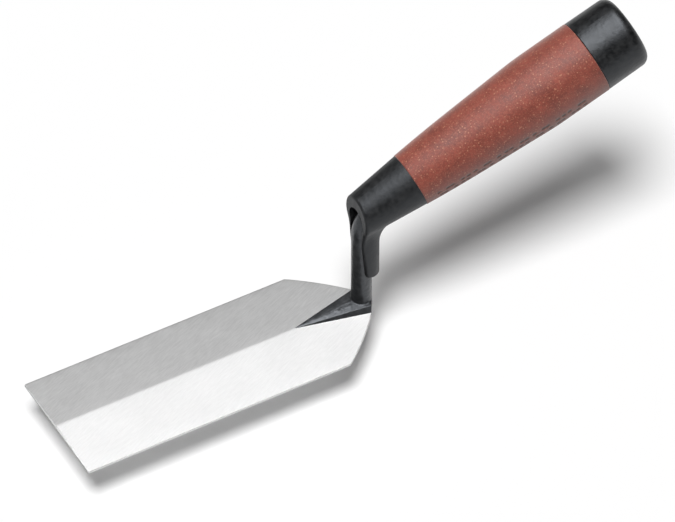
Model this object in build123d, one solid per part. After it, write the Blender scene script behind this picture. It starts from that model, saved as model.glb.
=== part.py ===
from build123d import *
import os
from math import acos, atan2, cos, hypot, radians, sin, sqrt

# Margin trowel, in millimetres.
# X runs along the blade from the toe towards the heel and the handle, Y across it, Z up.
# The origin is on the flat working face, at the centre of the blade's rectangular part.

# Blade: a flat underside, and two shallow ground facets that meet in a ridge along Y = 0.
BLADE_WIDTH = 50.8
BLADE_STRAIGHT = 111.0
EDGE_THICKNESS = 0.9
RIDGE_THICKNESS = 2.1
HEEL_TAPER = 19.7
HEEL_HALF_WIDTH = 6.7
HEEL_BULGE = 0.75

# Shank: a round bar that stands on the heel and bends back into the handle.
SHANK_X = 74.6
SHANK_RADIUS = 3.95
SHANK_FOOT_Z = 1.0
SHANK_END = 22.0
BEND_RADIUS = 16.0
ROOT_FLARE = 1.2

# Boss: the unground forging that widens from a point on the ridge to the foot of the shank.
# BOSS_KEEL is how far its sides run on into the blade, as a share of their own slope.
BOSS_TIP_X = 46.3
BOSS_END_X = 76.0
BOSS_HALF_WIDTH = 7.0
BOSS_LEDGE_HALF_WIDTH = 5.8
BOSS_LEDGE_Z = 4.4
BOSS_CREST_Z = 5.2
BOSS_KEEL = 0.5

# Tang: a tapered square bar that carries the shank on into the handle.
TANG_START = 20.0
TANG_END = 82.0
TANG_ROOT_SIDE = 5.2
TANG_TIP_SIDE = 3.2

# Handle axis: it crosses the shank's axis at HANDLE_Z and rises away from the toe.
# Stations such as GRIP_START are distances along it from that crossing.
HANDLE_Z = 48.93
HANDLE_TILT = 20.14
NOSE_START = -14.0
GRIP_START = 22.24
GRIP_END = 102.84
CAP_END = 122.5

# Handle core: the nose, the lip that runs down behind the shank, and the barrel in the grip.
NOSE_RADIUS = 10.75
NOSE_TAPER = 0.104
NOSE_FACE_AHEAD = 2.4
LIP_RADIUS = 5.83
LIP_SETBACK = 1.0
LIP_BEND_Z = 36.0
LIP_CORNER_AHEAD = 0.7
LIP_CORNER_Z = 19.3
LIP_TIP_Z = 17.3
LIP_BEND_ROUND = 40.0
LIP_TIP_ROUND = 1.8
LIP_BLEND = 12.0
RIM_ROUND = 1.2
SLOT_RADIUS = 4.25
ARCH_RADIUS = 5.1
ARCH_RISE = -1.2
SLOT_END = 14.0

# Grip sleeve: outer radii at even steps up to where the swelling ends, then a constant radius.
GRIP_RADII = (10.93, 12.0, 12.85, 13.6, 14.33, 14.85)
GRIP_SWELL_END = 82.2
GRIP_WALL = 2.4
EDGE_ROUND = 0.35

# End cap: its spigot plugs the hollow back of the core.
CAP_RADIUS = 14.75
CAP_END_RADIUS = 14.6
CAP_CORNER = 4.0
CAP_DOME = 0.8
CAP_FLAT_RADIUS = 1.5
SPIGOT_RADIUS = 8.0
SPIGOT_LENGTH = 14.0
SPIGOT_CHAMFER = 1.0
HOLLOW_LENGTH = 16.0

# How far a tool clears the solid that it cuts, and how far one solid runs into the next.
BEYOND = 30.0
OVERLAP = 1.0

TOE_X = -BLADE_STRAIGHT / 2
HEEL_X = BLADE_STRAIGHT / 2
TILT = radians(HANDLE_TILT)
CROSSING = Vector(SHANK_X, 0, HANDLE_Z)
AXIS = Vector(cos(TILT), 0, sin(TILT))
NORMAL = Vector(-sin(TILT), 0, cos(TILT))


def on_axis(station, rise=0.0):
    """Point at a station along the handle axis, lifted square to it."""
    return CROSSING + AXIS * station + NORMAL * rise


def across(station, rise=0.0):
    """Plane square to the handle axis at a station."""
    return Plane(origin=on_axis(station, rise), x_dir=(0, 1, 0), z_dir=AXIS)


def turned(edges):
    """Solid of revolution about the handle axis, from a closed outline above it."""
    return revolve(make_face(edges), axis=Axis(CROSSING, AXIS))


def rim(solid, station, radius):
    """The circular edge of a turned solid at a station and a radius."""
    circles = solid.edges().filter_by(GeomType.CIRCLE)
    return circles.sort_by(
        lambda edge: (edge.arc_center - on_axis(station)).length + abs(edge.radius - radius)
    )[0]


def slab(edges, half_width):
    """Solid that stands on both sides of a closed outline in the XZ plane."""
    return extrude(make_face(edges), amount=half_width, dir=(0, 1, 0), both=True)


def tangent_point(corner):
    """Point of the shank's circle whose tangent passes through a corner beside it."""
    along = corner.X - SHANK_X
    angle = atan2(corner.Y, along) - acos(SHANK_RADIUS / hypot(along, corner.Y))
    return Vector(SHANK_X + SHANK_RADIUS * cos(angle), SHANK_RADIUS * sin(angle))


def blade_outline():
    """Plan of the blade: a rectangle, bowed tapers, and an end that closes round the shank."""
    half = BLADE_WIDTH / 2
    shoulder = Vector(HEEL_X, half)
    corner = Vector(HEEL_X + HEEL_TAPER, HEEL_HALF_WIDTH)
    outward = (corner - shoulder).normalized().rotate(Axis.Z, 90)
    middle = (corner + shoulder) * 0.5 + outward * HEEL_BULGE
    end = tangent_point(corner)
    side = [
        Line((TOE_X, half), shoulder),
        ThreePointArc(shoulder, middle, corner),
        Line(corner, end),
    ]
    other_side = [edge.mirror(Plane.XZ) for edge in side]
    toe = Line((TOE_X, half), (TOE_X, -half))
    back = ThreePointArc(end, (SHANK_X + SHANK_RADIUS, 0), (end.X, -end.Y))
    return make_face(side + other_side + [toe, back])


def ground_blade():
    """Shallow gable, as long as the blade."""
    half = BLADE_WIDTH / 2
    gable = Polyline(
        (TOE_X, -half, 0),
        (TOE_X, half, 0),
        (TOE_X, half, EDGE_THICKNESS),
        (TOE_X, 0, RIDGE_THICKNESS),
        (TOE_X, -half, EDGE_THICKNESS),
        close=True,
    )
    return extrude(make_face(gable), amount=BLADE_STRAIGHT + BEYOND, dir=(1, 0, 0))


def boss():
    """Pyramid that lies on the facets, with its tip on the ridge and a crest along its top."""
    tip = Vector(BOSS_TIP_X, 0, RIDGE_THICKNESS)
    facet_drop = (RIDGE_THICKNESS - EDGE_THICKNESS) / (BLADE_WIDTH / 2)
    foot = Vector(BOSS_END_X, BOSS_HALF_WIDTH, RIDGE_THICKNESS - facet_drop * BOSS_HALF_WIDTH)
    ledge = Vector(BOSS_END_X, BOSS_LEDGE_HALF_WIDTH, BOSS_LEDGE_Z)
    crest = Vector(BOSS_END_X, 0, BOSS_CREST_Z)
    keel = foot + (foot - ledge) * BOSS_KEEL
    side = [crest, ledge, keel]
    section = side + [Vector(point.X, -point.Y, point.Z) for point in reversed(side[1:])]
    stretch = (SHANK_X + SHANK_RADIUS + OVERLAP - BOSS_TIP_X) / (BOSS_END_X - BOSS_TIP_X)
    section = [tip + (point - tip) * stretch for point in section]
    return loft([make_face(Polyline(*section, close=True)), Vertex(*tip)], ruled=True)


def shank_path():
    """Centreline of the shank: up from the heel, round the bend, along the handle axis."""
    foot = Vector(SHANK_X, 0, SHANK_FOOT_Z)
    return FilletPolyline(foot, CROSSING, on_axis(SHANK_END), radius=BEND_RADIUS)


def round_bar(path, radius):
    """Round bar that follows a path."""
    start = Plane(origin=path @ 0, z_dir=path % 0)
    return sweep(start * Circle(radius), path=path)


def tang():
    """Square bar that tapers into the handle."""
    root = across(TANG_START) * Rectangle(TANG_ROOT_SIDE, TANG_ROOT_SIDE)
    tip = across(TANG_END) * Rectangle(TANG_TIP_SIDE, TANG_TIP_SIDE)
    return loft([root, tip])


def root_flare():
    """Concave collar that spreads the shank's foot over the boss."""
    centre = Vector(SHANK_X + SHANK_RADIUS + ROOT_FLARE, 0, BOSS_LEDGE_Z + ROOT_FLARE)
    top = centre - Vector(ROOT_FLARE, 0, 0)
    toe = centre - Vector(0, 0, ROOT_FLARE)
    middle = centre - Vector(ROOT_FLARE, 0, ROOT_FLARE) / sqrt(2)
    outline = [
        ThreePointArc(top, middle, toe),
        Polyline(toe, (toe.X, 0, SHANK_FOOT_Z), (SHANK_X, 0, SHANK_FOOT_Z), (SHANK_X, 0, top.Z), top),
    ]
    return revolve(make_face(outline), axis=Axis((SHANK_X, 0, 0), (0, 0, 1)))


def forged_blade():
    """Blade, boss, shank and tang, forged in one piece."""
    prism = extrude(blade_outline(), amount=BEYOND)
    plate = (ground_blade() + boss() + root_flare()) & prism
    return plate + round_bar(shank_path(), SHANK_RADIUS) + tang()


def nose_radius(station):
    """Radius of the nose's cone."""
    return NOSE_RADIUS - NOSE_TAPER * (GRIP_START - station)


def swelling(inset):
    """Swelling line of the grip, moved inwards, from the nose to where it runs straight."""
    step = (GRIP_SWELL_END - GRIP_START) / (len(GRIP_RADII) - 1)
    points = [
        on_axis(GRIP_START + step * index, radius - inset)
        for index, radius in enumerate(GRIP_RADII)
    ]
    return Spline(*points, tangents=[points[1] - points[0], AXIS])


def core_body():
    """Nose cone, shoulder and barrel, turned about the handle axis."""
    barrel = swelling(GRIP_WALL)
    outline = [
        Polyline(
            on_axis(GRIP_END),
            on_axis(NOSE_START),
            on_axis(NOSE_START, nose_radius(NOSE_START)),
            on_axis(GRIP_START, NOSE_RADIUS),
            barrel @ 0,
        ),
        barrel,
        Polyline(barrel @ 1, on_axis(GRIP_END, GRIP_RADII[-1] - GRIP_WALL), on_axis(GRIP_END)),
    ]
    return turned(outline)


def lip_post():
    """Round post around the shank, from under the lip's tip up into the nose."""
    foot = Plane(origin=(SHANK_X + LIP_SETBACK, 0, LIP_TIP_Z - LIP_RADIUS))
    return extrude(foot * Circle(LIP_RADIUS), amount=HANDLE_Z - LIP_TIP_Z + LIP_RADIUS)


def lip_trim():
    """What is cut away in front of the nose's face and the lip, and below the lip's tip."""
    face_x = SHANK_X - NOSE_FACE_AHEAD
    back_x = SHANK_X + LIP_SETBACK + LIP_RADIUS
    edge = FilletPolyline(
        (face_x, 0, HANDLE_Z + BEYOND),
        (face_x, 0, LIP_BEND_Z),
        (SHANK_X - LIP_CORNER_AHEAD, 0, LIP_CORNER_Z),
        (back_x, 0, LIP_TIP_Z),
        radius=[LIP_BEND_ROUND, LIP_TIP_ROUND],
    )
    rest = Polyline(
        edge @ 1,
        (back_x, 0, -BEYOND),
        (face_x - BEYOND, 0, -BEYOND),
        (face_x - BEYOND, 0, HANDLE_Z + BEYOND),
        edge @ 0,
    )
    return slab([edge, rest], BEYOND)


def slot_tools():
    """Way in for the bent shank: an arched mouth in the nose that runs on down the lip."""
    path = shank_path()
    foot = path @ 0
    seat = round_bar(path, SLOT_RADIUS)
    arch = extrude(across(NOSE_START, ARCH_RISE) * Circle(ARCH_RADIUS), SLOT_END - NOSE_START)
    side = [
        path,
        Polyline(
            path @ 1,
            on_axis(SLOT_END, ARCH_RISE),
            on_axis(NOSE_START, ARCH_RISE),
            (on_axis(NOSE_START).X, 0, foot.Z),
            foot,
        ),
    ]
    return [seat, arch, slab(side, SLOT_RADIUS)]


def butt_hollow():
    """Blind hollow in the back of the core, which the cap's spigot closes."""
    start = GRIP_END - HOLLOW_LENGTH
    return extrude(across(start) * Circle(SPIGOT_RADIUS), HOLLOW_LENGTH + OVERLAP)


def handle_core():
    """Nose with its mouth, lip behind the shank, and the barrel inside the grip."""
    body = core_body() + lip_post()
    joint = body.edges().filter_by(GeomType.BSPLINE).sort_by(Axis.Z)[0]
    body = fillet(joint, LIP_BLEND) - lip_trim()
    front = body.faces().sort_by(Axis.X)[0]
    body = fillet(front.edges(), RIM_ROUND)
    seat = across(SLOT_END - OVERLAP) * Circle(SHANK_RADIUS)
    hole = extrude(seat, SHANK_END - SLOT_END + OVERLAP)
    for tool in [*slot_tools(), hole, tang(), butt_hollow()]:
        body -= tool
    return body


def grip_sleeve():
    """Soft sleeve over the barrel, flush with the nose and the cap."""
    outer = swelling(0)
    inner = swelling(GRIP_WALL)
    end = on_axis(GRIP_END, GRIP_RADII[-1])
    inner_end = on_axis(GRIP_END, GRIP_RADII[-1] - GRIP_WALL)
    outline = [
        outer,
        Polyline(outer @ 1, end, inner_end, inner @ 1),
        inner,
        Line(inner @ 0, outer @ 0),
    ]
    sleeve = turned(outline)
    rims = [rim(sleeve, GRIP_START, GRIP_RADII[0]), rim(sleeve, GRIP_END, GRIP_RADII[-1])]
    return fillet(rims, EDGE_ROUND)


def end_cap():
    """Butt cap: a domed button with a spigot that fills the mouth of the hollow."""
    spigot_end = GRIP_END - SPIGOT_LENGTH
    shoulder = on_axis(CAP_END - CAP_DOME, CAP_END_RADIUS)
    crown = on_axis(CAP_END, CAP_FLAT_RADIUS)
    outline = [
        Polyline(
            crown,
            on_axis(CAP_END),
            on_axis(spigot_end),
            on_axis(spigot_end, SPIGOT_RADIUS - SPIGOT_CHAMFER),
            on_axis(spigot_end + SPIGOT_CHAMFER, SPIGOT_RADIUS),
            on_axis(GRIP_END, SPIGOT_RADIUS),
            on_axis(GRIP_END, CAP_RADIUS),
            shoulder,
        ),
        TangentArc(crown, shoulder, tangent=NORMAL),
    ]
    cap = turned(outline)
    cap = fillet(rim(cap, CAP_END - CAP_DOME, CAP_END_RADIUS), CAP_CORNER)
    return fillet(rim(cap, GRIP_END, CAP_RADIUS), EDGE_ROUND)


def main():
    os.makedirs("parts", exist_ok=True)
    pieces = {
        "forged_blade": forged_blade(),
        "handle_core": handle_core(),
        "grip_sleeve": grip_sleeve(),
        "end_cap": end_cap(),
    }
    for name, piece in pieces.items():
        export_step(piece, f"parts/{name}.step")


if __name__ == "__main__":
    main()
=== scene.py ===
from math import acos, atan2, cos, hypot, pi, radians, sin, sqrt, tan

import bpy
import numpy as np
from mathutils import Matrix, Vector


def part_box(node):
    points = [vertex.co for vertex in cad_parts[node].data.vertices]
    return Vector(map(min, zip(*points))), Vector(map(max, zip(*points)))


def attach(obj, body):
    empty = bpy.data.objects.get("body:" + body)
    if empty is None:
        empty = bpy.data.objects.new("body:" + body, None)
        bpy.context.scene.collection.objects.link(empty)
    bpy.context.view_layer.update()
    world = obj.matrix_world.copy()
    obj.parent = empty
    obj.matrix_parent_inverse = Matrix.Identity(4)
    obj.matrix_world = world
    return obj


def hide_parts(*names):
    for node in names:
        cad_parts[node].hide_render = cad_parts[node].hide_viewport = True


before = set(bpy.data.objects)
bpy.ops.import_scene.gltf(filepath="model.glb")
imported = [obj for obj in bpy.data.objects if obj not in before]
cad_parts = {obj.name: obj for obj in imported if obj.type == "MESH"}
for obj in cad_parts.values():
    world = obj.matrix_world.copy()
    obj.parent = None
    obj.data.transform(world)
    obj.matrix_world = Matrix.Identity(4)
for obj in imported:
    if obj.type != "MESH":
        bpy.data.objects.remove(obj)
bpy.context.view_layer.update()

# Margin trowel. Sizes are in millimetres until a mesh is made, and then in metres.
# X runs along the blade from the toe to the handle, Y across it, and Z up.
MM = 0.001

# Shank
SHANK_X = 74.6
SHANK_RADIUS = 3.95
SHANK_FOOT_Z = 0.1
SHANK_END = 20.0
BEND_RADIUS = 16.0
SWELL = 0.15
SWELL_TOP_Z = 4.5
SWELL_FADE = 3.5
ROUND_POINTS = 72
SKIN_GAP = 0.02

# Blade. HEEL_INSET is how far its rim is drawn in where the boss covers it.
BLADE_LOW, BLADE_HIGH = (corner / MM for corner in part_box("forged_blade"))
TOE_X = BLADE_LOW.x
HALF_WIDTH = BLADE_HIGH.y
SHOULDER_X = -TOE_X
HEEL_CORNER = Vector((75.2, 6.7))
HEEL_START_X = HEEL_CORNER.x - 1
HEEL_END_X = SHANK_X + SHANK_RADIUS
HEEL_BULGE = 0.75
HEEL_INSET = 0.15
EDGE_THICKNESS = 0.9
RIDGE_THICKNESS = 2.1
RIDGE_WEAR = 0.005
EDGE_ROUND = 0.14
CORNER_ROUND = 0.25
FACET_SHARES = (0.98, 0.8, 0.6, 0.4, 0.2, 0.03)
BLADE_SHARP_ANGLE = radians(50)

# Boss. It widens and rises from its tip on the ridge to BOSS_END_X. SUNK is how deep the foot of
# a skin goes below the surface that it stands on.
BOSS_TIP_X = 45.2
BOSS_END_X = 76.0
BOSS_TIP_SHARE = 0.003
BOSS_HALF_WIDTH = 7.1
BOSS_BASE_Z = 0.05
LEDGE_HALF_WIDTH = 5.8
LEDGE_Z = 4.4
CROWN_SHARE = 0.4
CROWN_Z = 5.1
CREST_Z = 5.25
ROOT_FLARE = 0.8
SUNK = 0.8
SUNK_AT_TIP = 0.5
SUNK_MOST = 1.0
FORGING_VOXEL = 0.2
FORGING_SMOOTHING = 3

# Handle axis
HANDLE_Z = 48.93
HANDLE_TILT = radians(20.14)
CROSSING = Vector((SHANK_X, 0, HANDLE_Z))
AXIS = Vector((cos(HANDLE_TILT), 0, sin(HANDLE_TILT)))
NORMAL = Vector((-sin(HANDLE_TILT), 0, cos(HANDLE_TILT)))
ACROSS = Vector((0, 1, 0))

# Grip, and the rows of short dashes that are sunk into its lower side. DASH_COLUMNS is where
# the mesh crosses a dash, as shares of the dash's width.
GRIP_WALL = 2.4
GRIP_END_ROUND = 0.4
GRIP_RING_STEP = 0.3
GRIP_INNER_RINGS = 14
GRIP_PLAIN_COLUMNS = 50
GRIP_SHARP_ANGLE = radians(60)
PROFILE_REACH = 2
DASH_ROWS = 8
DASH_ROW_SPACING = 2.6
DASH_RADIUS = 13.8
DASH_PITCH = 3.2
DASH_JITTER = 0.8
DASH_JITTER_STEP = 2.4
DASH_JITTER_ROW = 1.9
DASH_LENGTH = 2.3
DASH_WIDTH = 1.4
DASH_DEPTH = 0.2
DASH_STEEPNESS = 1.6
DASH_FIRST = 28.0
DASH_LAST = 98.0
DASH_COLUMNS = (-0.6, -0.35, -0.12, 0.12, 0.35, 0.6)

# Finishes. Noise scales are per metre. Lists of pairs are the stops of a ramp over a noise, and
# bumps are (noise scale, noise detail, strength, distance) layers.
COOL_SHEEN = (0.88, 0.93, 1.0, 1)
STEEL_GRAIN_TURN = radians(22)
STEEL_GRAIN_STRETCH = (250, 2000, 400)
STEEL_TONE = [(0.3, 0.69), (0.7, 0.8)]
STEEL_CLOUD = [(0.3, 0.95), (0.7, 1.0)]
STEEL_ROUGHNESS = [(0.3, 0.38), (0.7, 0.46)]
LACQUER_COLOUR = [(0.3, (0.008, 0.0085, 0.009)), (0.7, (0.024, 0.0245, 0.026))]
LACQUER_ROUGHNESS = [(0.3, 0.28), (0.7, 0.4)]
LACQUER_BUMPS = [(260.0, 1.0, 0.5, 0.0004), (700.0, 2.0, 0.5, 0.0003)]
PLASTIC_COLOUR = [(0.35, (0.001, 0.001, 0.001)), (0.65, (0.008, 0.008, 0.008))]
PLASTIC_BUMPS = [(220.0, 1.0, 0.5, 0.0003), (700.0, 2.0, 0.4, 0.0002)]
CORE_ROUGHNESS = [(0.3, 0.44), (0.7, 0.56)]
CAP_ROUGHNESS = [(0.3, 0.34), (0.7, 0.46)]
GRIP_COLOUR = [(0.3, (0.088, 0.017, 0.01)), (0.7, (0.138, 0.028, 0.017))]
GRIP_GRAIN = [(0.35, 0.8), (0.65, 1.15)]
GRIP_ROUGHNESS = [(0.3, 0.48), (0.7, 0.6)]
GRIP_BLOOM = (1, 0.85, 0.8, 1)
GRIP_BUMPS = [(1200.0, 3.0, 0.3, 0.0001)]
COARSE_SPECKLE = (0.22, 0.09, 0.053)
FINE_SPECKLE = (0.15, 0.046, 0.028)
# Painted shade: the colour that the dashes' recesses are darkened towards, standing in for the shade
# that falls in them.
PAINTED_RECESS_SHADE = (0.03, 0.012, 0.01)

# Stage. The distant lights' energies are in W/m2, and the softboxes' radiances in W/m2/sr.
FLOOR_Z = -20.0
FLOOR_HALF_SIZE = 4000
FLOOR_COLOUR = (0.95, 0.95, 0.95, 1)
VIEW_TARGET = Vector((64.286, 0, 29.083))
VIEW_AZIMUTH = radians(29.476)
VIEW_ELEVATION = radians(45.922)
VIEW_DISTANCE = 2644.1
SENSOR_WIDTH = 36.0
LENS = 377.39
CLIP_METRES = 20.0
KEY_DIRECTION = Vector((-0.275, -0.35, 1))
KEY_ENERGY = 3.4
KEY_SPREAD = radians(20)
FLOOR_KEY_ENERGY = 3.13
FLOOR_KEY_SPREAD = radians(19)
FLOOR_FILL_ENERGY = 0.28
SOFTBOX_DISTANCE = 5000.0
SOFTBOX_WIDTH = 4000.0
HANDLE_BOX = {"rise": radians(86), "spread": radians(28.2), "radiance": 7.2}
BLADE_BOX = {"rise": radians(118), "spread": radians(6), "radiance": 6.0}
FILL = 0.06


# Mesh helpers

def make_piece(name, points, faces, replaced):
    """A smooth-shaded object from points in millimetres, riding on the one body."""
    mesh = bpy.data.meshes.new(name)
    mesh.from_pydata([Vector(point) * MM for point in points], [], faces)
    mesh.validate()
    mesh.shade_smooth()
    piece = bpy.data.objects.new(name, mesh)
    bpy.context.scene.collection.objects.link(piece)
    return register(piece, replaced)


def register(piece, replaced):
    """Hang the piece on the root body that it rides on, and hide the CAD node that it stands for."""
    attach(piece, "root")
    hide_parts(replaced)
    return piece


def places(*stretches):
    """Places along X, spread evenly over each (first, last, count) stretch."""
    return [x for first, last, count in stretches for x in np.linspace(first, last, count)]


def mirrored_ring(x, half):
    """Closed ring of points across the tool, from (y, z) pairs that run up one half of it."""
    other = [(-y, z) for y, z in reversed(half[1:-1])]
    return [Vector((x, y, z)) for y, z in half + other]


def loft(rings):
    """Points and faces of a closed skin over rings of equal length, with a cap on each end."""
    count = len(rings[0])
    points = [point for ring in rings for point in ring]
    faces = []
    for row in range(len(rings) - 1):
        for column in range(count):
            following = (column + 1) % count
            low, high = row * count, (row + 1) * count
            faces.append((low + column, low + following, high + following, high + column))
    faces.append(tuple(reversed(range(count))))
    faces.append(tuple(range(len(points) - count, len(points))))
    return points, faces


def tube_faces(rows, columns):
    """Faces of a skin that closes on itself both ways, over rings laid one after another."""
    faces = []
    for row in range(rows):
        for column in range(columns):
            following = (column + 1) % columns
            low, high = row * columns, (row + 1) % rows * columns
            faces.append((low + column, low + following, high + following, high + column))
    return faces


def merged(*parts):
    """One list of points and one of faces from several pairs of them."""
    points, faces = [], []
    for part_points, part_faces in parts:
        start = len(points)
        points += part_points
        faces += [tuple(index + start for index in face) for face in part_faces]
    return points, faces


def remeshed(name, mesh, voxel, passes):
    """A copy of a mesh as one even skin, with its edges softened. voxel is in millimetres."""
    source = bpy.data.objects.new(name, mesh)
    bpy.context.scene.collection.objects.link(source)
    remesh = source.modifiers.new("remesh", "REMESH")
    remesh.mode = "VOXEL"
    remesh.voxel_size = voxel * MM
    smooth = source.modifiers.new("smooth", "SMOOTH")
    smooth.factor = 0.5
    smooth.iterations = passes
    bpy.context.view_layer.update()
    graph = bpy.context.evaluated_depsgraph_get()
    result = bpy.data.meshes.new_from_object(source.evaluated_get(graph))
    bpy.data.objects.remove(source)
    result.shade_smooth()
    result.materials.clear()
    piece = bpy.data.objects.new(name, result)
    bpy.context.scene.collection.objects.link(piece)
    return piece


def on_axis(station, rise=0.0):
    """Point at a distance along the handle axis, lifted square to it."""
    return CROSSING + AXIS * station + NORMAL * rise


# Material helpers

def new_material(name):
    """A material, its node tree and its shader."""
    material = bpy.data.materials.new(name)
    material.use_nodes = True
    tree = material.node_tree
    return material, tree, tree.nodes["Principled BSDF"]


def add(tree, kind, inputs=None, **settings):
    """A node with settings, whose inputs are constants or other nodes' outputs."""
    made = tree.nodes.new("ShaderNode" + kind)
    for key, value in settings.items():
        setattr(made, key, value)
    for key, value in (inputs or {}).items():
        if isinstance(value, bpy.types.NodeSocket):
            tree.links.new(value, made.inputs[key])
        else:
            made.inputs[key].default_value = value
    return made


def ramp(tree, factor, stops):
    """A colour ramp over a factor, from two (place, grey or colour) stops."""
    made = add(tree, "ValToRGB", {"Fac": factor})
    for element, (place, value) in zip(made.color_ramp.elements, stops):
        element.position = place
        element.color = (value, value, value, 1) if isinstance(value, float) else (*value, 1)
    return made.outputs["Color"]


def mix(tree, factor, first, second, blend="MIX"):
    """A colour mix of two colours or colour outputs."""
    made = add(tree, "Mix", data_type="RGBA", blend_type=blend)
    for socket, value in zip((made.inputs[0], made.inputs[6], made.inputs[7]), (factor, first, second)):
        if isinstance(value, bpy.types.NodeSocket):
            tree.links.new(value, socket)
        else:
            socket.default_value = value if isinstance(value, float) else (*value, 1)
    return made.outputs[2]


def object_coordinates(tree, turn=0.0, stretch=(1, 1, 1)):
    """Coordinates in the object's own frame, in metres, turned about Z and stretched."""
    place = add(tree, "TexCoord").outputs["Object"]
    turned = add(tree, "Mapping", {"Vector": place, "Rotation": (0, 0, -turn)})
    return add(tree, "Mapping", {"Vector": turned.outputs[0], "Scale": stretch}).outputs[0]


def noise(tree, coordinates, scale, detail=2.0, roughness=0.5):
    """A noise pattern's factor."""
    settings = {"Vector": coordinates, "Scale": scale, "Detail": detail, "Roughness": roughness}
    return add(tree, "TexNoise", settings).outputs["Fac"]


def bumps(tree, shader, place, layers):
    """Bumps over one another on a surface, from (scale, detail, strength, distance) layers."""
    normal = None
    for scale, detail, strength, distance in layers:
        height = noise(tree, place, scale, detail)
        settings = {"Height": height, "Strength": strength, "Distance": distance}
        if normal is not None:
            settings["Normal"] = normal
        normal = add(tree, "Bump", settings).outputs[0]
    tree.links.new(normal, shader.inputs["Normal"])


def speckles(tree, place, scale, size, share):
    """Round spots, one in some of the cells of a pattern. share is how many cells have one."""
    cells = add(tree, "TexVoronoi", {"Vector": place, "Scale": scale, "Randomness": 1.0})
    spots = ramp(tree, cells.outputs["Distance"], [(size * 0.7, 1.0), (size, 0.0)])
    chosen = ramp(tree, cells.outputs["Color"], [(1 - share, 0.0), (1 - share + 0.02, 1.0)])
    return mix(tree, 1.0, spots, chosen, "MULTIPLY")


# Blade

def heel_arc():
    """Centre and radius of the circle that the bowed taper lies on, seen from above."""
    shoulder = Vector((SHOULDER_X, HALF_WIDTH))
    chord = HEEL_CORNER - shoulder
    radius = chord.length_squared / (8 * HEEL_BULGE) + HEEL_BULGE / 2
    inward = Vector((chord.y, -chord.x)).normalized()
    return (shoulder + HEEL_CORNER) / 2 + inward * (radius - HEEL_BULGE), radius


def heel_tangent():
    """Where the straight line from the heel's corner meets the round end of the heel."""
    ahead = HEEL_CORNER.x - SHANK_X
    turn = atan2(HEEL_CORNER.y, ahead) - acos(SHANK_RADIUS / hypot(ahead, HEEL_CORNER.y))
    return Vector((SHANK_X + SHANK_RADIUS * cos(turn), SHANK_RADIUS * sin(turn)))


HEEL_CENTRE, HEEL_RADIUS = heel_arc()
TANGENT = heel_tangent()


def half_width(x):
    """Half the blade's width at a place along it."""
    if x < TOE_X + CORNER_ROUND:
        short = CORNER_ROUND - (x - TOE_X)
        return HALF_WIDTH - CORNER_ROUND + sqrt(max(CORNER_ROUND**2 - short**2, 0))
    if x < SHOULDER_X:
        return HALF_WIDTH
    if x < HEEL_CORNER.x:
        return HEEL_CENTRE.y + sqrt(HEEL_RADIUS**2 - (x - HEEL_CENTRE.x) ** 2)
    if x < TANGENT.x:
        share = (x - HEEL_CORNER.x) / (TANGENT.x - HEEL_CORNER.x)
        return HEEL_CORNER.y + (TANGENT.y - HEEL_CORNER.y) * share
    return sqrt(max(SHANK_RADIUS**2 - (x - SHANK_X) ** 2, 0))


def facet_z(y):
    """Height of the ground facets."""
    slope = (RIDGE_THICKNESS - EDGE_THICKNESS) / HALF_WIDTH
    return RIDGE_THICKNESS - slope * abs(y)


def half_section(width, squeeze):
    """Half of the blade's section, from its underside round the edge to the ridge, as (y, z)."""
    bend = [0, pi / 6, pi / 3, pi / 2]
    inner = width - EDGE_ROUND
    lower = [(inner + EDGE_ROUND * sin(turn), EDGE_ROUND * (1 - cos(turn))) for turn in bend]
    edge_top = facet_z(width)
    upper = [
        (inner + EDGE_ROUND * cos(turn), edge_top - EDGE_ROUND * (1 - sin(turn)))
        for turn in bend
    ]
    facet = [(inner * share, facet_z(inner * share)) for share in FACET_SHARES]
    half = [(0, 0), (inner * 0.5, 0), (inner * 0.98, 0)] + lower + upper + facet
    half.append((0, facet_z(0) - RIDGE_WEAR))
    middle = facet_z(width) / 2
    return [(y, middle + (z - middle) * squeeze) for y, z in half]


def blade_section(x, inset, squeeze):
    """Closed ring of points across the blade."""
    width = max(half_width(x) - inset, 3 * EDGE_ROUND)
    return mirrored_ring(x, half_section(width, squeeze))


def blade():
    """The ground blade, with its edges and its toe corners slightly rounded."""
    rings = []
    for turn in np.linspace(0, pi / 2, 5):
        inset = EDGE_ROUND * (1 - sin(turn))
        rings.append(blade_section(TOE_X + inset, inset, 1 - 2 * inset / EDGE_THICKNESS))
    stations = places(
        (TOE_X + 0.3, TOE_X + 1.5, 5),
        (TOE_X + 4, SHOULDER_X, 36),
        (SHOULDER_X + 0.4, HEEL_CORNER.x, 28),
        (HEEL_CORNER.x + 0.2, HEEL_END_X - HEEL_INSET, 16),
    )
    for x in stations:
        covered = min(max(x - HEEL_START_X, 0), 1)
        rings.append(blade_section(x, HEEL_INSET * covered, 1))
    points, faces = loft(rings)
    piece = make_piece("ground_blade", points, faces, "forged_blade")
    piece.data.set_sharp_from_angle(angle=BLADE_SHARP_ANGLE)
    return piece


# Boss and shank

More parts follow.
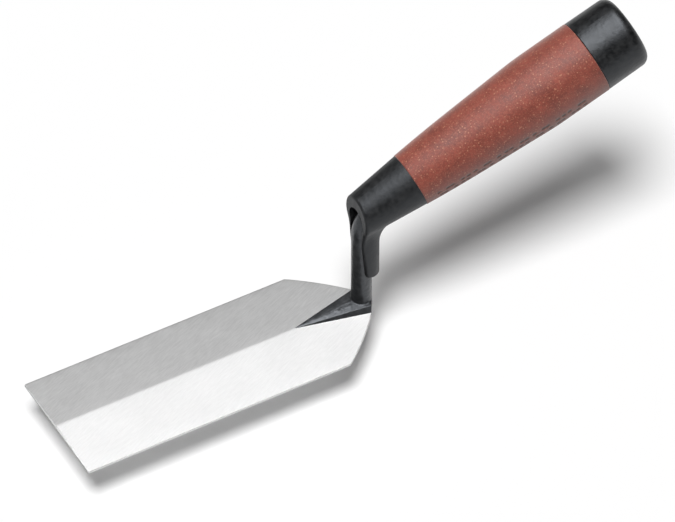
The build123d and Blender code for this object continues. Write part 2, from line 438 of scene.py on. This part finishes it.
def boss_section(x):
    """Closed ring of points across the boss, whose foot is sunk into the blade."""
    share = max((x - BOSS_TIP_X) / (BOSS_END_X - BOSS_TIP_X), BOSS_TIP_SHARE)
    foot = BOSS_HALF_WIDTH * share
    outer = min(foot, half_width(x))
    full_ledge = LEDGE_HALF_WIDTH * share
    ledge = min(full_ledge, outer)
    ledge_z, crown_z, crest_z = (
        RIDGE_THICKNESS + (z - RIDGE_THICKNESS) * share for z in (LEDGE_Z, CROWN_Z, CREST_Z)
    )
    side_slope = (ledge_z - facet_z(foot)) / (foot - full_ledge)
    outer_z = ledge_z - side_slope * (outer - ledge)
    base = outer_z - min(SUNK * share + SUNK_AT_TIP, SUNK_MOST)
    if x > HEEL_START_X:
        base = BOSS_BASE_Z
    half = [(0, base), (outer, base), (outer, outer_z), (ledge, ledge_z)]
    half += [(ledge * CROWN_SHARE, crown_z), (0, crest_z)]
    return mirrored_ring(x, half)


def boss_rings():
    """Sections of the boss, from its tip on the ridge to the round end of the heel."""
    stations = places(
        (BOSS_TIP_X, HEEL_START_X, 40),
        (HEEL_START_X + 0.2, HEEL_END_X - SKIN_GAP, 24),
    )
    return [boss_section(x) for x in stations]


def shank_radius(z):
    """The shank swells a little towards its foot."""
    return SHANK_RADIUS + SWELL * np.exp(-max(z - SWELL_TOP_Z, 0) / SWELL_FADE)


def shank_path():
    """Places and directions along the shank: up, round the bend and into the handle."""
    run = BEND_RADIUS * np.tan(pi / 4 - HANDLE_TILT / 2)
    low = HANDLE_Z - run
    up = Vector((0, 0, 1))
    path = [(Vector((SHANK_X, 0, z)), up) for z in np.linspace(SHANK_FOOT_Z, low, 60)]
    centre = Vector((SHANK_X + BEND_RADIUS, 0, low))
    for turn in np.linspace(0, pi / 2 - HANDLE_TILT, 24)[1:]:
        place = centre + Vector((-cos(turn), 0, sin(turn))) * BEND_RADIUS
        path.append((place, Vector((sin(turn), 0, cos(turn)))))
    path += [(on_axis(station), AXIS) for station in np.linspace(run, SHANK_END, 8)[1:]]
    return path


def shank_rings():
    """Rings round the shank's path."""
    turns = [2 * pi * index / ROUND_POINTS for index in range(ROUND_POINTS)]
    rings = []
    for place, along in shank_path():
        side = ACROSS.cross(along)
        radius = shank_radius(place.z)
        rings.append([place + (side * cos(turn) + ACROSS * sin(turn)) * radius for turn in turns])
    return rings


def kept_on_boss(point):
    """A point moved inside the heel's outline and between the ledges."""
    x = min(point.x, HEEL_END_X - SKIN_GAP)
    limit = min(half_width(x), LEDGE_HALF_WIDTH)
    return Vector((x, max(min(point.y, limit), -limit), point.z))


def collar_rings():
    """A concave collar that spreads the shank's foot over the boss, as far as its ledges."""
    angles = np.linspace(0, 2 * pi, ROUND_POINTS, endpoint=False)
    rings = []
    for turn in np.linspace(0, pi / 2, 10):
        radius = SHANK_RADIUS + ROOT_FLARE * (1 - sin(turn))
        height = LEDGE_Z + ROOT_FLARE * (1 - cos(turn))
        ring = [Vector((SHANK_X + radius * cos(angle), radius * sin(angle), height)) for angle in angles]
        rings.append([kept_on_boss(point) for point in ring])
    base = [Vector((point.x, point.y, LEDGE_Z - SUNK)) for point in rings[0]]
    return [base] + rings


def forging():
    """Boss and shank as one skin, with the soft edges of a forging."""
    points, faces = merged(loft(boss_rings()), loft(shank_rings()), loft(collar_rings()))
    mesh = bpy.data.meshes.new("forging")
    mesh.from_pydata([point * MM for point in points], [], faces)
    mesh.validate()
    piece = remeshed("boss_and_shank", mesh, FORGING_VOXEL, FORGING_SMOOTHING)
    return register(piece, "forged_blade")


# Grip

def outer_profile(node):
    """Stations along the handle axis, and the radius of a turned CAD node's outside there."""
    points = np.array([vertex.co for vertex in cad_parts[node].data.vertices]) / MM
    offset = points - np.array(CROSSING)
    station = offset @ np.array(AXIS)
    radius = np.sqrt((offset**2).sum(1) - station**2)
    outside = [
        (place, size)
        for place, size in zip(station, radius)
        if size > radius[abs(station - place) < PROFILE_REACH].max() - GRIP_WALL / 2
    ]
    return np.array(sorted(outside)).T


def dash_centres(row):
    """Stations of the moulded dashes in a row, unevenly spaced."""
    count = int((DASH_LAST - DASH_FIRST) / DASH_PITCH)
    phase = DASH_JITTER_ROW * row * row
    return [
        DASH_FIRST + DASH_PITCH * index + DASH_JITTER * sin(DASH_JITTER_STEP * index + phase)
        for index in range(count)
    ]


def grip_turns():
    """Angles about the axis from the bottom line, close together across each row of dashes."""
    step = DASH_ROW_SPACING / DASH_RADIUS
    width = DASH_WIDTH / DASH_RADIUS
    rows = [step * (row + 0.5) for row in range(-DASH_ROWS, DASH_ROWS)]
    turns = [row + width * share for row in rows for share in DASH_COLUMNS]
    rest = np.linspace(turns[-1], 2 * pi + turns[0], GRIP_PLAIN_COLUMNS)[1:-1]
    return rows, np.array(turns + list(rest))


def dashes(stations, rows, turns):
    """How far each point of the grip is sunk, as a share of the dashes' depth."""
    sunk = np.zeros((len(stations), len(turns)))
    for number, row in enumerate(rows):
        across = abs(turns - row) * DASH_RADIUS / (DASH_WIDTH / 2)
        for centre in dash_centres(number):
            along = abs(stations - centre) / (DASH_LENGTH / 2)
            reach = np.hypot(across[None, :] ** 2, along[:, None] ** 2)
            sunk = np.maximum(sunk, np.clip(DASH_STEEPNESS * (1 - reach), 0, 1))
    return sunk


def grip():
    """The sleeve, with short dashes sunk into its lower side."""
    known, radii = outer_profile("grip_sleeve")
    first, last = known[0], known[-1]
    rounded = GRIP_END_ROUND * np.linspace(0, 1, 6) ** 2
    start = first + GRIP_END_ROUND + GRIP_RING_STEP
    between = np.arange(start, last - 2 * GRIP_RING_STEP, GRIP_RING_STEP)
    outer = np.concatenate([first + rounded, between, last - rounded[::-1]])
    rows, turns = grip_turns()
    sunk = dashes(outer, rows, turns)
    outside = np.interp(outer, known, radii)[:, None] - DASH_DEPTH * sunk

    inner = np.linspace(last, first, GRIP_INNER_RINGS)
    bore = np.interp(inner, known, radii) - GRIP_WALL + SKIN_GAP
    ends = np.interp([last - GRIP_END_ROUND, first + GRIP_END_ROUND], known, radii)
    bore[[0, -1]] = ends - GRIP_WALL + SKIN_GAP

    stations = np.concatenate([outer, inner])
    radius = np.concatenate([outside, np.repeat(bore[:, None], len(turns), 1)])
    sunk = np.concatenate([sunk, np.zeros((len(inner), len(turns)))])
    points = [
        on_axis(station, -size * cos(turn)) + ACROSS * size * sin(turn)
        for station, sizes in zip(stations, radius)
        for turn, size in zip(turns, sizes)
    ]
    faces = tube_faces(len(stations), len(turns))
    piece = make_piece("speckled_grip", points, faces, "grip_sleeve")
    piece.data.set_sharp_from_angle(angle=GRIP_SHARP_ANGLE)
    # Painted shade: how far each point is sunk, kept so the grip's colour can be darkened in the dashes'
    # recesses.
    painted_recess_shade = piece.data.attributes.new("painted_recess_shade", "FLOAT", "POINT")
    painted_recess_shade.data.foreach_set("value", sunk.ravel())
    return piece


# Materials

def steel():
    """Ground steel with a slanting grain."""
    material, tree, shader = new_material("ground_steel")
    grain = object_coordinates(tree, STEEL_GRAIN_TURN, STEEL_GRAIN_STRETCH)
    streaks = noise(tree, grain, 1.0, 3.0, 0.6)
    patches = noise(tree, object_coordinates(tree), 60.0, 2.0)
    tone = ramp(tree, streaks, STEEL_TONE)
    cloud = ramp(tree, patches, STEEL_CLOUD)
    tree.links.new(mix(tree, 1.0, tone, cloud, "MULTIPLY"), shader.inputs["Base Color"])
    tree.links.new(ramp(tree, streaks, STEEL_ROUGHNESS), shader.inputs["Roughness"])
    bump = add(tree, "Bump", {"Height": streaks, "Strength": 0.15, "Distance": 0.00003})
    tree.links.new(bump.outputs[0], shader.inputs["Normal"])
    shader.inputs["Metallic"].default_value = 1.0
    return material


def lacquer():
    """Dark lacquer over a forged surface."""
    material, tree, shader = new_material("forging_lacquer")
    place = object_coordinates(tree)
    cloud = noise(tree, place, 350.0, 3.0)
    tree.links.new(ramp(tree, cloud, LACQUER_COLOUR), shader.inputs["Base Color"])
    tree.links.new(ramp(tree, cloud, LACQUER_ROUGHNESS), shader.inputs["Roughness"])
    bumps(tree, shader, place, LACQUER_BUMPS)
    shader.inputs["Specular IOR Level"].default_value = 0.65
    shader.inputs["Specular Tint"].default_value = COOL_SHEEN
    return material


def black_plastic(name, roughness):
    """Moulded black plastic. roughness is the stops of its ramp."""
    material, tree, shader = new_material(name)
    place = object_coordinates(tree)
    cloud = noise(tree, place, 500.0, 4.0, 0.6)
    tree.links.new(ramp(tree, cloud, PLASTIC_COLOUR), shader.inputs["Base Color"])
    tree.links.new(ramp(tree, cloud, roughness), shader.inputs["Roughness"])
    bumps(tree, shader, place, PLASTIC_BUMPS)
    shader.inputs["Specular Tint"].default_value = COOL_SHEEN
    return material


def elastomer():
    """Brick-red soft grip with pale speckles, a pale bloom, and painted shade that darkens the dashes'
    recesses.
    """
    material, tree, shader = new_material("speckled_elastomer")
    place = object_coordinates(tree)
    cloud = noise(tree, place, 180.0, 4.0, 0.6)
    base = ramp(tree, cloud, GRIP_COLOUR)
    grain = ramp(tree, noise(tree, place, 1300.0, 3.0, 0.7), GRIP_GRAIN)
    base = mix(tree, 1.0, base, grain, "MULTIPLY")
    coarse = speckles(tree, place, 1000.0, 0.3, 0.45)
    fine = speckles(tree, place, 1700.0, 0.38, 0.7)
    tone = mix(tree, coarse, base, COARSE_SPECKLE)
    tone = mix(tree, fine, tone, FINE_SPECKLE)
    # Painted shade: the grip's colour is darkened in the dashes' recesses, by how far each point is
    # sunk.
    painted_recess_shade = add(tree, "Attribute", attribute_name="painted_recess_shade").outputs["Fac"]
    tone = mix(tree, painted_recess_shade, tone, PAINTED_RECESS_SHADE)
    tree.links.new(tone, shader.inputs["Base Color"])
    tree.links.new(ramp(tree, cloud, GRIP_ROUGHNESS), shader.inputs["Roughness"])
    shader.inputs["Specular IOR Level"].default_value = 0.45
    shader.inputs["Sheen Weight"].default_value = 0.2
    shader.inputs["Sheen Roughness"].default_value = 0.5
    shader.inputs["Sheen Tint"].default_value = GRIP_BLOOM
    bumps(tree, shader, place, GRIP_BUMPS)
    return material


# Stage

def camera():
    """A long lens that looks down the blade from over its near corner."""
    level = cos(VIEW_ELEVATION)
    look = Vector((sin(VIEW_AZIMUTH) * level, cos(VIEW_AZIMUTH) * level, -sin(VIEW_ELEVATION)))
    data = bpy.data.cameras.new("camera")
    data.lens = LENS
    data.sensor_width = SENSOR_WIDTH
    data.clip_end = CLIP_METRES
    obj = bpy.data.objects.new("camera", data)
    obj.location = (VIEW_TARGET - look * VIEW_DISTANCE) * MM
    obj.rotation_euler = look.to_track_quat("-Z", "Y").to_euler()
    bpy.context.scene.collection.objects.link(obj)
    bpy.context.scene.camera = obj


def floor():
    """A plain pale floor under the trowel."""
    mesh = bpy.data.meshes.new("floor")
    size = FLOOR_HALF_SIZE
    corners = [(-size, -size), (size, -size), (size, size), (-size, size)]
    mesh.from_pydata([Vector((x, y, FLOOR_Z)) * MM for x, y in corners], [], [(0, 1, 2, 3)])
    obj = bpy.data.objects.new("floor", mesh)
    bpy.context.scene.collection.objects.link(obj)
    material, tree, shader = new_material("pale_floor")
    shader.inputs["Base Color"].default_value = FLOOR_COLOUR
    shader.inputs["Roughness"].default_value = 1.0
    shader.inputs["Specular IOR Level"].default_value = 0.0
    mesh.materials.append(material)


def linked(name, chosen, state):
    """A collection for light linking, in which the chosen objects are included or excluded."""
    collection = bpy.data.collections.new(name)
    for obj in chosen:
        collection.objects.link(obj)
    for link in collection.collection_objects:
        link.light_linking.link_state = state
    return collection


def softbox(name, rise, spread, radiance):
    """An overhead light. Its rise is measured from the level on the camera's side."""
    data = bpy.data.lights.new(name, "AREA")
    data.shape = "RECTANGLE"
    data.size = SOFTBOX_WIDTH * MM
    data.size_y = 2 * SOFTBOX_DISTANCE * tan(spread) * MM
    data.energy = radiance * pi * data.size * data.size_y
    across = Vector((cos(VIEW_AZIMUTH), -sin(VIEW_AZIMUTH), 0))
    back = Vector((sin(VIEW_AZIMUTH), cos(VIEW_AZIMUTH), 0))
    away = Vector((0, 0, sin(rise))) - back * cos(rise)
    obj = bpy.data.objects.new(name, data)
    obj.location = (VIEW_TARGET + away * SOFTBOX_DISTANCE) * MM
    obj.rotation_euler = Matrix((across, away.cross(across), away)).transposed().to_euler()
    bpy.context.scene.collection.objects.link(obj)
    return obj


def distant_light(name, energy, spread):
    """A distant light from the key's direction, for shadow and colour, but not for sheen."""
    data = bpy.data.lights.new(name, "SUN")
    data.energy = energy
    data.angle = spread
    obj = bpy.data.objects.new(name, data)
    obj.rotation_euler = KEY_DIRECTION.to_track_quat("Z", "Y").to_euler()
    obj.visible_glossy = False
    bpy.context.scene.collection.objects.link(obj)
    return obj


def distant_lights(ground):
    """A key for the trowel, and for the floor a key and a fill that nothing blocks."""
    only_floor = linked("only_floor", [ground], "INCLUDE")
    key = distant_light("key", KEY_ENERGY, KEY_SPREAD)
    key.light_linking.receiver_collection = linked("all_but_floor", [ground], "EXCLUDE")
    floor_key = distant_light("floor_key", FLOOR_KEY_ENERGY, FLOOR_KEY_SPREAD)
    floor_key.light_linking.receiver_collection = only_floor
    floor_fill = distant_light("floor_fill", FLOOR_FILL_ENERGY, FLOOR_KEY_SPREAD)
    floor_fill.light_linking.receiver_collection = only_floor
    floor_fill.light_linking.blocker_collection = only_floor


def softboxes(ground, ground_steel):
    """A softbox for the handle and the forging, and one for the blade that nothing blocks."""
    handle_light = softbox("handle_softbox", **HANDLE_BOX)
    handle_side = linked("all_but_floor_and_blade", [ground, ground_steel], "EXCLUDE")
    handle_light.light_linking.receiver_collection = handle_side
    blade_light = softbox("blade_softbox", **BLADE_BOX)
    only_blade = linked("only_blade", [ground_steel], "INCLUDE")
    blade_light.light_linking.receiver_collection = only_blade
    blade_light.light_linking.blocker_collection = only_blade
    blade_light.data.cycles.use_multiple_importance_sampling = False


def lights():
    """The distant lights, the softboxes and a faint even fill."""
    ground = bpy.data.objects["floor"]
    distant_lights(ground)
    softboxes(ground, bpy.data.objects["ground_blade"])
    world = bpy.data.worlds.new("studio")
    world.use_nodes = True
    background = world.node_tree.nodes["Background"]
    background.inputs["Color"].default_value = (1, 1, 1, 1)
    background.inputs["Strength"].default_value = FILL
    bpy.context.scene.world = world


# Build

camera()
floor()
bpy.context.scene.view_settings.view_transform = "Standard"

pieces = [
    (blade(), steel()),
    (forging(), lacquer()),
    (grip(), elastomer()),
]
for piece, material in pieces:
    piece.data.materials.append(material)
carried = {
    "handle_core": black_plastic("core_plastic", CORE_ROUGHNESS),
    "end_cap": black_plastic("cap_plastic", CAP_ROUGHNESS),
}
for name, material in carried.items():
    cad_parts[name].material_slots[0].material = material

lights()
